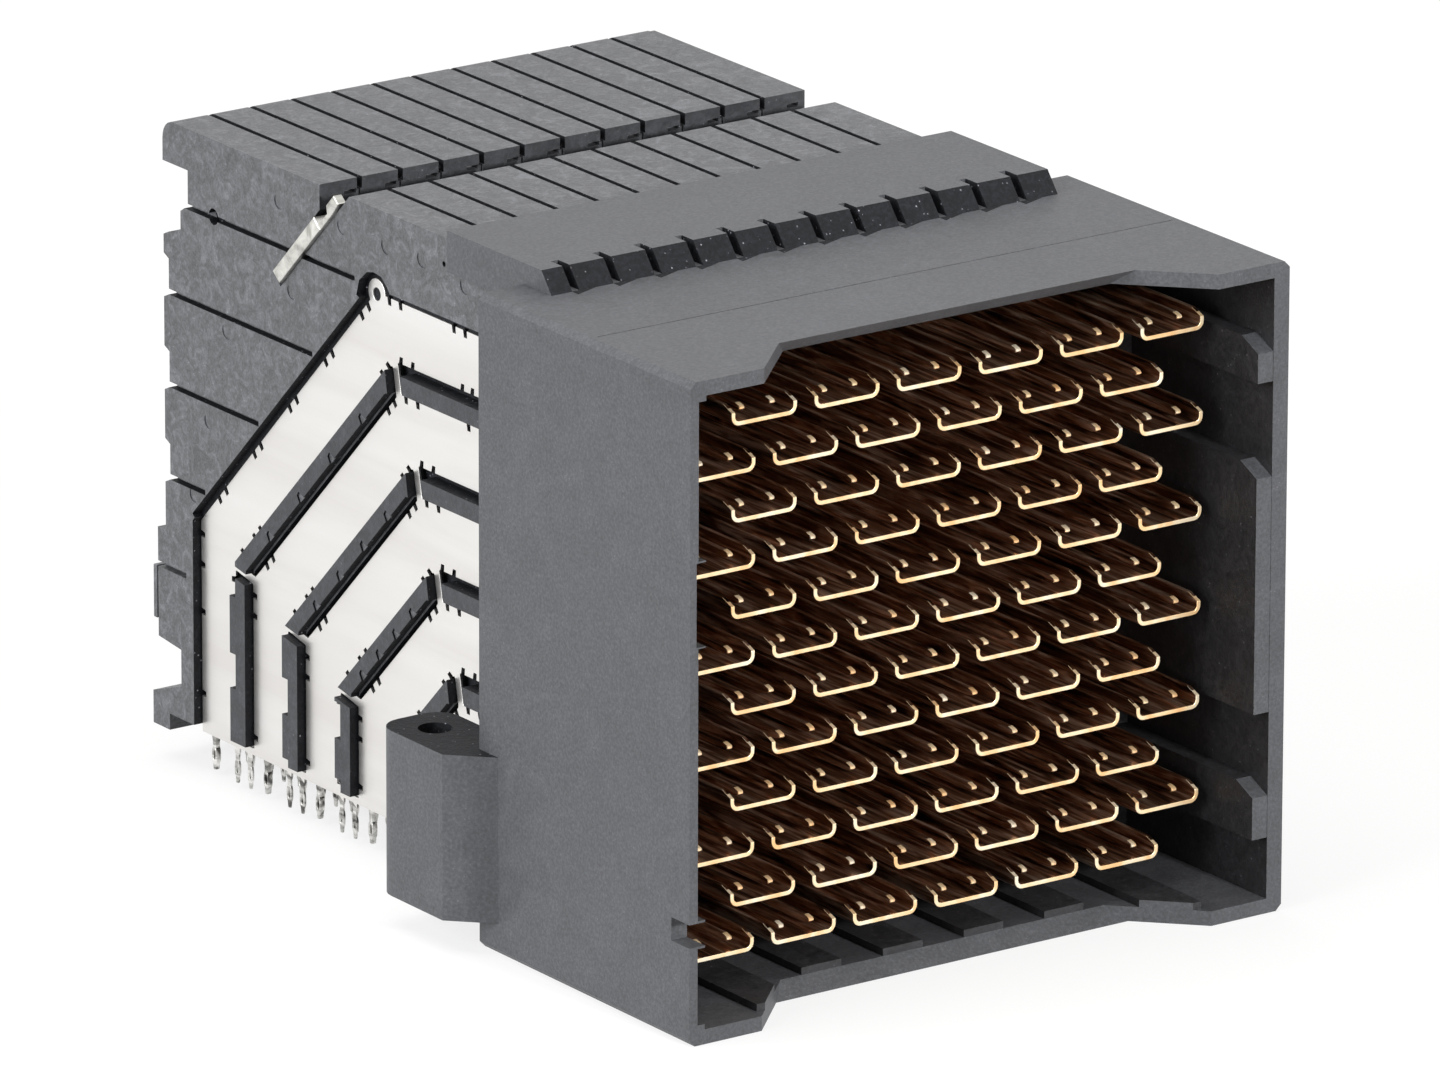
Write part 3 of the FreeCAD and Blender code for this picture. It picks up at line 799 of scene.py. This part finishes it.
# wafers: moulded plates side by side; the first shows its ribs through the openings of its ground plate
print("wafers")
wafer = {"left": -1.10, "back": 46.3, "bevel": 0.055, "core": 0.88, "plateDepth": 0.42, "clear": 0.2,
         "lip": ((45.9, 28.8), (0.849, 0.899)), "lipSides": (0.003, 2.147),  # middle and reach of the corner
         "grooveBack": 33.7, "grooveLow": 28.0, "notches": ((21.12, 23.25), (16.62, 18.75), (12.12, 14.25)),
         "mark": (0.42, 20, -130), "markDeep": 0.05,  # radius, start and sweep of a flow mark in degrees
         "marks": ((36.95, 28.17), (31.78, 28.25), (28.20, 28.19), (25.30, 28.29), (21.85, 27.88),
                   (35.92, 24.12), (41.35, 20.84), (42.91, 16.09), (44.2, 12.2)),
         "holes": ((42.5, 26.0, 0.4), (23.61, 28.43, 0.13)), "holeDeep": 0.5,
         "recess": ((16.4, 25.0), (16.4, 25.9), (28.0, 25.9), (28.25, 26.2), (28.7, 26.55), (29.3, 26.62),
                    (29.85, 26.5), (30.5, 25.95), (30.72, 25.2), (29.0, 24.6)), "recessMore": 0.11,
         "slantGap": ((55.0, 5.0), (55.62, 5.0), (55.62, 33.3), (55.0, 33.3)), "gapMore": 0.1,
         "gapHalf": 0.14, "gapLow": 29.15, "gapFront": 17, "pitchSide": 2.2, "nickDepth": (0.3, 0.8),
         "barRoom": ((60.98, 62.2), (1.2, 12.9)), "pocket": (1.36, 2.0, 28.98, 29.18),
         "strip": ((-13.44, 47.58, 5.2), (-12.3, 47.88, 7.8)), "stripBevel": 0.05,
         "stripWeb": ((-12.9, 47.2, 5.6), (-12.35, 47.7, 7.4)), "grooveSpan": 0.2}
rib = {"fit": 0.1, "top": 0.28, "foot": 0.12, "back": 0.62, "front": 0.35, "slit": 0.1, "floor": 0.45,
       "start": 17, "over": 0.2, "skin": 0.02, "stepShares": (0.14, 0.36, 0.58, 0.8), "stepSlants": 3,
       "stepDeep": 0.1, "fineHalf": 0.14, "fineDeep": 0.42, "fineEnd": 49,
       "fine": ((25.95, 30.95), (21.45, 34.35), (16.95, 38.85), (12.45, 43.35), (7.95, 45.02)),
       "padSpan": (0.16, 0.7), "padCuts": ((0, 8.0, 11.4), (0, 3.5, 5.2), (1, 3.4, 5.17), (1, 0.0, 1.26),
                                           (2, 3.43, 5.2), (2, 0.0, 1.48))}
# where the wafers' painted shade and darker ribs lie: depths behind the face, then limits along Y and Z
shade = {"depths": (0.04, 0.47, 0.95), "back": 46.2, "heights": (0.9, 29.2), "paleCorner": (44, 26.3),
         "floorHigh": 26.5, "ribDeep": 0.1, "ribHigh": 24.5, "ribMargin": (0.6, 1.5),
         "gapSides": (0.12, 2.04)}


def crescent(centre, radius, turn, sweep, width=0.07, least=0.012, steps=9):
    outer, inner = [], []
    for k in range(steps + 1):
        swell = width * math.sin(math.pi * k / steps) + least
        outer.append(around(centre, radius + swell, turn + sweep * k / steps))
        inner.append(around(centre, radius - swell, turn + sweep * k / steps))
    return outer + inner[::-1]


def bySumAndLean(pairs):
    # points given as y + z and y - z, for what lies along the slant
    return [((total + lean) / 2, (total - lean) / 2) for total, lean in pairs]


def levelRibCuts(cuts, band, near, deep):
    # level ribs fill only the lower front part of their slots
    top, low, over = band[0][1], band[2][1], rib["over"]
    cuts["level"].append(boxMesh((near, rib["start"], top - rib["top"]),
                                 (deep, band[1][0] + over, top + rib["skin"])))
    cuts["level"].append(boxMesh((near, rib["start"], low - rib["skin"]),
                                 (deep, band[2][0] + over, low + rib["foot"])))
    cuts["rear"].append(prismMesh([(band[1][0] - rib["back"], top + rib["skin"]),
                                   (band[1][0] + over, top + rib["skin"]),
                                   (band[2][0] + over, low - rib["skin"]),
                                   (band[2][0] - rib["back"], low - rib["skin"])], near, deep))


def slantedRibCuts(cuts, band, near, deep, floor):
    # slanted ribs fill the rear part, with a narrow slit down to the core in front of them
    a, b = band[3], band[2]
    for group, width, depth in (("slanted", rib["front"] / 2, floor), ("slits", rib["slit"], deep)):
        cuts[group].append(prismMesh([(a[0] - 0.3, a[1] + 0.2), (a[0] + width, a[1] + width),
                                      (b[0] + width, b[1] + width), (b[0] + 0.2, b[1] - 0.3)], near, depth))


def ribSteps(cuts, band, near, deep):
    a, b = Vector(band[3]), Vector(band[2])
    along, across = (b - a).normalized(), Vector((1, 1)).normalized()
    for share in rib["stepShares"]:
        foot = a.lerp(b, share) + across * rib["front"] * 0.7
        cuts["steps"].append(prismMesh([foot - across * 0.05, foot + along * 0.2 + across * 0.42,
                                        foot + along * 0.45 + across * 0.36,
                                        foot + along * 0.55 - across * 0.05], near, deep))


def firstWaferCuts():
    face = columnX(0) + wafer["left"]
    near = face - wafer["clear"]
    deep = face + wafer["core"]
    sheet = face + wafer["plateDepth"]
    cuts = {"marks": [prismMesh(crescent(c, *wafer["mark"]), near, face + wafer["markDeep"])
                      for c in wafer["marks"]],
            "holes": [prismMesh(ring((y, z), radius, 12), near, face + wafer["holeDeep"])
                      for y, z, radius in wafer["holes"]],
            "recess": [prismMesh(wafer["recess"], near, sheet + wafer["recessMore"])],
            "slant": [prismMesh(bySumAndLean(wafer["slantGap"]), near, sheet + wafer["gapMore"])],
            "ticks": [prismMesh(points, *(face + depth for depth in wafer["nickDepth"]))
                      for points in plateTicks()]}
    for group in ("fine", "pads", "level", "rear", "slanted", "slits", "steps"):
        cuts[group] = []
    for k, low, high in rib["padCuts"]:
        y = window["y"] - k * lead["step"]
        cuts["pads"].append(boxMesh((near, y + rib["padSpan"][0], low), (deep, y + rib["padSpan"][1], high)))
    for z, y in rib["fine"]:
        cuts["fine"].append(boxMesh((near, y, z - rib["fineHalf"]),
                                    (face + rib["fineDeep"], rib["fineEnd"], z + rib["fineHalf"])))
    bands = windowBands(rib["fit"])
    for k in range(window["count"]):
        level, slant = bands[3 * k:3 * k + 2]
        levelRibCuts(cuts, level, near, deep)
        slantedRibCuts(cuts, slant, near, deep, face + rib["floor"])
        if k < rib["stepSlants"]:
            ribSteps(cuts, slant, near, face + rib["stepDeep"])
    return cuts


def roundLip(face):
    # the rear lip's upper corner
    middle, reach = wafer["lip"]
    turns = [math.radians(turn) for turn in range(0, 91, 15)]
    arc = [(middle[0] + reach[0] * math.sin(a), middle[1] + reach[1] * math.cos(a)) for a in turns]
    return prismMesh([middle] + arc, *(face + side for side in wafer["lipSides"]))


def commonCuts(number, face):
    # notches in the rear edges that stand free, and a gap on top towards each neighbour
    cuts = {"gaps": []}
    if number > 0:
        cuts = {"notches": [boxMesh((face - 0.3, wafer["back"], low), (face + 3, wafer["back"] + 0.5, high))
                            for low, high in wafer["notches"]],
                "gaps": [boxMesh((face - 0.3, wafer["gapFront"], wafer["gapLow"]),
                                 (face - 0.05 + wafer["gapHalf"], 50, 31))]}
    if number < grid["wafers"] - 1:
        cuts["gaps"].append(boxMesh((face + wafer["pitchSide"] - wafer["gapHalf"], wafer["gapFront"],
                                     wafer["gapLow"]), (face + 2.5, 50, 31)))
    # small window in the groove's rear face, and room for the slanted bar
    x0, x1, z0, z1 = wafer["pocket"]
    cuts["window"] = [boxMesh((face + x0, wafer["grooveBack"] - 0.2, z0),
                              (face + x1, wafer["grooveBack"] + 0.5, z1))]
    (s0, s1), (t0, t1) = wafer["barRoom"]
    cuts["bar"] = [prismMesh(bySumAndLean(((s0, t0), (s0, t1), (s1, t1), (s1, t0))), face - 0.3, face + 2.8)]
    return cuts


def shadeFirstWafer(mesh, face):
    wall, floor, deep = (face + depth for depth in shade["depths"])
    low, high = shade["heights"]
    paleY, paleZ = shade["paleCorner"]
    marginBack, marginSum = shade["ribMargin"]
    # painted shade on the walls of the recesses, ribs and fine grooves, then on the deep floors; then the
    # ribs' outer faces in the darker rib plastic
    faceMaterial(mesh, lambda c, n: abs(n.x) < 0.6 and wall < c.x < deep and c.y < shade["back"]
                 and low < c.z < high and not (c.y > paleY and c.z > paleZ), 1)
    faceMaterial(mesh, lambda c, n: n.x < -0.9 and floor < c.x < deep and c.z < shade["floorHigh"], 1)
    faceMaterial(mesh, lambda c, n: n.x < -0.9 and c.x < face + shade["ribDeep"] and c.z < shade["ribHigh"]
                 and rib["start"] < c.y < plate["back"] - marginBack
                 and c.y + c.z < plate["sum"] - marginSum, 2)


def shadeGaps(mesh, face, number):
    # the groove's rear face in the darker rib plastic, and painted shade on the walls and floors of the gaps
    # on top
    faceMaterial(mesh, lambda c, n: abs(c.y - wafer["grooveBack"]) < wafer["grooveSpan"]
                 and c.z > wafer["grooveLow"] and n.y < -0.8, 2)
    left, right = (face + side for side in shade["gapSides"])
    faceMaterial(mesh, lambda c, n: c.z > wafer["gapLow"] - 0.05
                 and ((number > 0 and c.x < left) or (number < grid["wafers"] - 1 and c.x > right))
                 and (abs(n.x) > 0.8 or c.z < wafer["gapLow"] + 0.05), 1)


for number in range(grid["wafers"]):
    tag = "wafer_%02d" % (number + 1)
    face = columnX(number) + wafer["left"]
    cuts = firstWaferCuts() if number == 0 else {}
    cuts.update(commonCuts(number, face))
    mesh = cutBy(cadCopy(tag), [roundLip(face)], False, "UNION")
    mesh = cutAndSoften(cutInGroups(mesh, cuts), [], wafer["bevel"])
    if number == 0:  # the thin strip behind its foot
        mesh = joined([mesh] + [cutAndSoften(boxMesh(*wafer[part]), [], wafer["stripBevel"])
                                for part in ("strip", "stripWeb")])
    setMaterial(mesh, waferPlastic, etchedPlasticAndPaintedShade, ribPlastic)
    if number == 0:
        shadeFirstWafer(mesh, face)
    shadeGaps(mesh, face, number)
    finishPiece(tag + "_moulded", mesh, "wafer_plastic", tag)


# moulded housing: shroud, hood and screw ears
print("housing")
housing = {"bevel": 0.07, "top": 29.35, "bottom": -1.55, "halfWidth": 16.45, "wall": 0.85, "lineY": 8.0,
           "lineWidth": 0.07, "lineDeep": 0.03, "lineEnd": 0.6,
           "stepHigh": 30.35, "stepFront": 14.25, "stepBack": 15.2, "slotShift": -0.3, "slotWidth": 0.4,
           "slotMore": 0.07, "slotBack": 15.95, "slotFront": 14, "footLength": 0.8, "footFront": 0.42,
           "footBack": 0.06, "footPoint": 0.02, "footRise": 0.012, "footSink": 0.05,
           "earTop": 7.9, "earX": 16.4, "earY": 20.1, "earRound": 1.87, "earFront": 19.4, "earBack": 22.15,
           "earCorner": 1.2, "earHole": 0.8, "notchHalf": 9.0, "notchDepth": 3.5, "rimLean": 0.8,
           "rimWall": 0.7, "rimOver": 0.1, "rimEnd": 0.05, "key": (17.07, 20.97), "keyDeep": (0.95, 1.3),
           "keyBevel": 0.35, "keySides": (0.35, 1.5), "leadIn": (0.4, 1.2), "leadInOver": (1.6, 0.86),
           "leadInSpans": ((-0.6, 3.0), (4.3, 17.0), (21.05, 28.4)), "padX": 14.75, "padDepth": (0.02, 0.5),
           "padEnd": 0.6, "pads": ((2.1, 4.7), (8.1, 19.9), (23.8, 25.8)), "padRamp": (1.28, 0.6),
           "rampMore": 0.24, "rampHigh": 0.4, "cornerPost": ((14.25, 10.7, -0.9), (15.65, 13.45, 28.7))}
# where its painted shade lies
inside = {"wall": 0.8, "y": (0.1, 17), "z": (-0.75, 28.6), "floor": (0.6, 12), "hole": 0.9, "holeTop": 7.88}


def hoodFootShades():
    # painted shade: each hood slot runs out to the right in a thin dark pointed patch laid on the shroud's
    # top
    footShades = []
    reach = housing["slotWidth"] / 2
    front, top = housing["stepFront"], housing["top"]
    for number in range(grid["wafers"]):
        x = columnX(number) + housing["slotShift"]
        foot = boxMesh((x - reach, front - housing["footFront"], top - housing["footSink"]),
                       (x + reach + housing["footLength"], front + housing["footBack"],
                        top + housing["footRise"]))
        for vert in foot.vertices:
            if vert.co.x > x * mm and vert.co.y < front * mm:
                vert.co.y = (front + housing["footPoint"]) * mm
        setMaterial(foot, etchedPlasticAndPaintedShade)
        footShades.append(foot)
    return footShades


def uprightMesh(points, z0, z1):
    # an outline of (x, y) points between two heights
    mesh = prismMesh([(p[0], p[1]) for p in points], z0, z1)
    mesh.transform(Matrix(((0, 1, 0, 0), (0, 0, 1, 0), (1, 0, 0, 0), (0, 0, 0, 1))))
    return mesh


def earEnd(side):
    # squarer rear end with rounded corners
    x0, x1 = housing["earX"] - housing["earRound"], housing["earX"] + housing["earRound"]
    front, back = housing["earFront"], housing["earBack"]
    corners = [(x0, front), (x1, front), (x1, back), (x0, back)]
    steps = 6
    points = corners[:2] + [tuple(p) for p in rounded(corners, housing["earCorner"], steps)[2 * (steps + 1):]]
    return uprightMesh([(side * x, y) for x, y in points], 0, housing["earTop"])


def rimLip(top, sign):
    # the set-back rim leans forwards to the outer side
    half, y, over = housing["notchHalf"], housing["notchDepth"], housing["rimOver"]
    lean, inner = housing["rimLean"], top - sign * housing["rimWall"]
    mesh = prismMesh([(y + over, top), (y - lean, top), (y, inner), (y + over, inner)], -half, half)
    for vert in mesh.vertices:  # the notch's ends run out at half a right angle
        vert.co.x += math.copysign(y + housing["rimEnd"] - vert.co.y / mm, vert.co.x) * mm
    return mesh


def sidePads():
    # raised pads inside the right wall and the post behind them, with the room above the pads' sloped ends
    padX, half, high = housing["padX"], housing["halfWidth"], housing["rampHigh"]
    front, back = housing["padDepth"]
    deep, drop = housing["padRamp"]
    pads = [boxMesh((padX, front, z0), (half - housing["padEnd"], back, z1)) for z0, z1 in housing["pads"]]
    pads.append(boxMesh(*housing["cornerPost"]))
    ramps = [prismMesh([(-0.5, z1 - drop - housing["rampMore"]), (deep, z1), (deep, z1 + high),
                        (-0.5, z1 + high)], padX - 0.2, half - housing["wall"]) for z0, z1 in housing["pads"]]
    return pads, ramps


def housingCuts(ramps):
    half, top, wall = housing["halfWidth"], housing["top"], housing["wall"]
    low, high = housing["key"]
    shallow, deep = housing["keyDeep"]
    bevel = housing["keyBevel"]
    wide, back = housing["leadIn"]
    over, end = housing["leadInOver"]
    slotHalf = housing["slotWidth"] / 2 + housing["slotMore"]
    return {
        "ramps": ramps,
        # a slanted lead-in behind the left wall's front edge
        "lead in": [uprightMesh([(-half + over, -1), (-half + wall - wide, -1), (-half + wall - wide, 0),
                                 (-half + end, back), (-half + over, back)], z0, z1)
                    for z0, z1 in housing["leadInSpans"]],
        "line": [boxMesh((-half + housing["lineEnd"], housing["lineY"], top - housing["lineDeep"]),
                         (half - housing["lineEnd"], housing["lineY"] + housing["lineWidth"], 30))],
        # the slot in the left rim that takes the mating half's key
        "key": [prismMesh([(-1, low), (shallow, low), (deep, low + bevel), (deep, high - bevel),
                           (shallow, high), (-1, high)], *(-half + side for side in housing["keySides"]))],
        "ear holes": [uprightMesh(ring((side * housing["earX"], housing["earY"]), housing["earHole"], 32),
                                  -1, 9) for side in (-1, 1)],
        "slots": [boxMesh((x - slotHalf, housing["slotFront"], top + housing["footRise"]),
                          (x + slotHalf, housing["slotBack"], 31))
                  for x in [columnX(number) + housing["slotShift"] for number in range(grid["wafers"])]]}


def shadeHousing(mesh):
    half, top, front, back = (housing[key] for key in ("halfWidth", "top", "stepFront", "stepBack"))
    # painted shade in the screw holes
    faceMaterial(mesh, lambda c, n: abs(abs(c.x) - housing["earX"]) < inside["hole"]
                 and abs(c.y - housing["earY"]) < inside["hole"]
                 and c.z < inside["holeTop"] and n.z > -0.5, 1)
    # painted shade on the inside of the shroud, apart from what looks forwards
    faceMaterial(mesh, lambda c, n: abs(c.x) < half - inside["wall"] and inside["y"][0] < c.y < inside["y"][1]
                 and inside["z"][0] < c.z < inside["z"][1]
                 and (n.y > -0.3 or (c.z < inside["floor"][0] and c.y < inside["floor"][1])), 2)
    # the hood's front face in its rough etched finish, and painted shade on the walls and floors of its slots
    faceMaterial(mesh, lambda c, n: front < c.y < back and c.z > top and n.y < -0.3, 1)
    faceMaterial(mesh, lambda c, n: front - 0.1 < c.y < back + 0.2 and abs(c.x) < half - 0.3
                 and top - 0.05 < c.z < housing["stepHigh"] - 0.03 and (abs(n.x) > 0.8 or n.z > 0.8), 1)
    # the ears' tops
    faceMaterial(mesh, lambda c, n: abs(c.z - housing["earTop"]) < 0.05 and n.z > 0.8, 1)


mesh = cadCopy("housing")
pads, ramps = sidePads()
for added in (earEnd(-1), earEnd(1), rimLip(housing["top"], 1), rimLip(housing["bottom"], -1), *pads):
    mesh = cutBy(mesh, [added], False, "UNION")
mesh = cutAndSoften(cutInGroups(mesh, housingCuts(ramps)), [], housing["bevel"])
setMaterial(mesh, shroudPlastic, etchedPlasticAndPaintedShade, paintedShadeInnerPlastic)
shadeHousing(mesh)
# thin dark patches of painted shade beside the hood's slots
footShades = joined(hoodFootShades())
faceMaterial(footShades, lambda c, n: True, 1)
finishPiece("housing_moulded", joined([mesh, footShades]), "shroud_plastic", "housing")

# slanted bar
print("stiffener")
bar = {"reach": 13.725, "edge": 0.05, "inset": 0.02, "tab": 0.5,
       "outline": ((61.0, 12.4), (61.0, 5.6), (62.0, 5.7), (62.0, 12.5)),  # as (y + z, y - z)
       "link": ((61.4, 6.2), (60.98, 5.6), (60.98, 3.75), (61.1, 2.6), (61.8, 2.7), (61.8, 3.9), (61.35, 4.2),
                (61.4, 5.2))}


# the pointed link is seen at the bar's left end only
mesh = joined([sheetMesh([bySumAndLean(bar["outline"])], -bar["reach"], bar["reach"], bar["edge"]),
               sheetMesh([bySumAndLean(bar["link"])], bar["inset"] - bar["reach"], bar["tab"] - bar["reach"],
                         bar["edge"])])
mesh = smoothed(mesh, 20)
setMaterial(mesh, steelStrip)
finishPiece("stiffener_strip", mesh, "steel_strip", "stiffener")

# floor, world and lamps
print("stage and light")
stage = {"floor": "#F4F4F3", "bounce": "#8C8C8E", "floorSize": 3.0, "gap": 0.02, "worldLight": 0.23,
         "shadowShare": 0.22, "aim": (0, 0.02, 0.012)}
lamps = {"top": {"place": (-0.05, 0.14, 0.60), "size": 0.55, "colour": (1, 0.99, 0.97), "power": 2.6},
         "left": {"place": (-0.60, 0.05, 0.22), "size": 0.5, "colour": (0.97, 0.985, 1), "power": 5.5},
         "front": {"place": (0.036, -0.62, 0.22), "size": 0.06, "colour": (1, 1, 1), "power": 4.5}}


def seenDirectly(tree):
    # 1 for rays that show a surface to the camera, straight or mirrored, and 0 for those that light the part
    path = addNode(tree, "ShaderNodeLightPath").outputs
    seen = path["Is Camera Ray"]
    for kind in ("Is Glossy Ray", "Is Transmission Ray"):
        seen = addNode(tree, "ShaderNodeMath", {"operation": "MAXIMUM"}, {0: seen, 1: path[kind]}).outputs[0]
    return seen


def makeStage():
    form = bmesh.new()
    bmesh.ops.create_grid(form, x_segments=1, y_segments=1, size=stage["floorSize"])
    floor = linkedObject("floor", meshFrom(form, "floor"))
    floor.location.z = cadBounds[0][2] - stage["gap"] * mm
    material, tree = newMaterial("pale_floor")
    # plain white to the camera, with only part of the shadow, and grey to the part
    seen = seenDirectly(tree)
    share = addNode(tree, "ShaderNodeMath", {"operation": "MULTIPLY", 1: 1 - stage["shadowShare"]}, {0: seen})
    tone = addNode(tree, "ShaderNodeMix",
                   {"data_type": "RGBA", 6: linear(stage["bounce"]), 7: linear(stage["floor"])}, {0: seen})
    matte = addNode(tree, "ShaderNodeBsdfDiffuse", {}, {"Color": tone.outputs[2]})
    white = addNode(tree, "ShaderNodeEmission", {"Color": (1, 1, 1, 1), "Strength": 1.0})
    mixed = addNode(tree, "ShaderNodeMixShader", {},
                    {0: share.outputs[0], 1: matte.outputs[0], 2: white.outputs[0]})
    addNode(tree, "ShaderNodeOutputMaterial", {}, {"Surface": mixed.outputs[0]})
    floor.data.materials.append(material)
    world = bpy.data.worlds.new("plain studio")
    world.use_nodes = True
    tree = world.node_tree
    tree.nodes.clear()
    strength = addNode(tree, "ShaderNodeMapRange", {"To Min": stage["worldLight"], "To Max": 1.0},
                       {"Value": seenDirectly(tree)})
    sky = addNode(tree, "ShaderNodeBackground", {"Color": (1, 1, 1, 1)}, {"Strength": strength.outputs[0]})
    addNode(tree, "ShaderNodeOutputWorld", {}, {"Surface": sky.outputs[0]})
    scene.world = world
    for name, values in lamps.items():
        light = bpy.data.lights.new(name, "AREA")
        light.size = values["size"]
        light.energy = values["power"]
        light.color = values["colour"]
        lamp = linkedObject(name, light)
        lamp.location = values["place"]
        aim = Vector(stage["aim"]) - Vector(values["place"])
        lamp.rotation_euler = aim.to_track_quat("-Z", "Y").to_euler()


makeStage()
scene.view_settings.view_transform = "Standard"
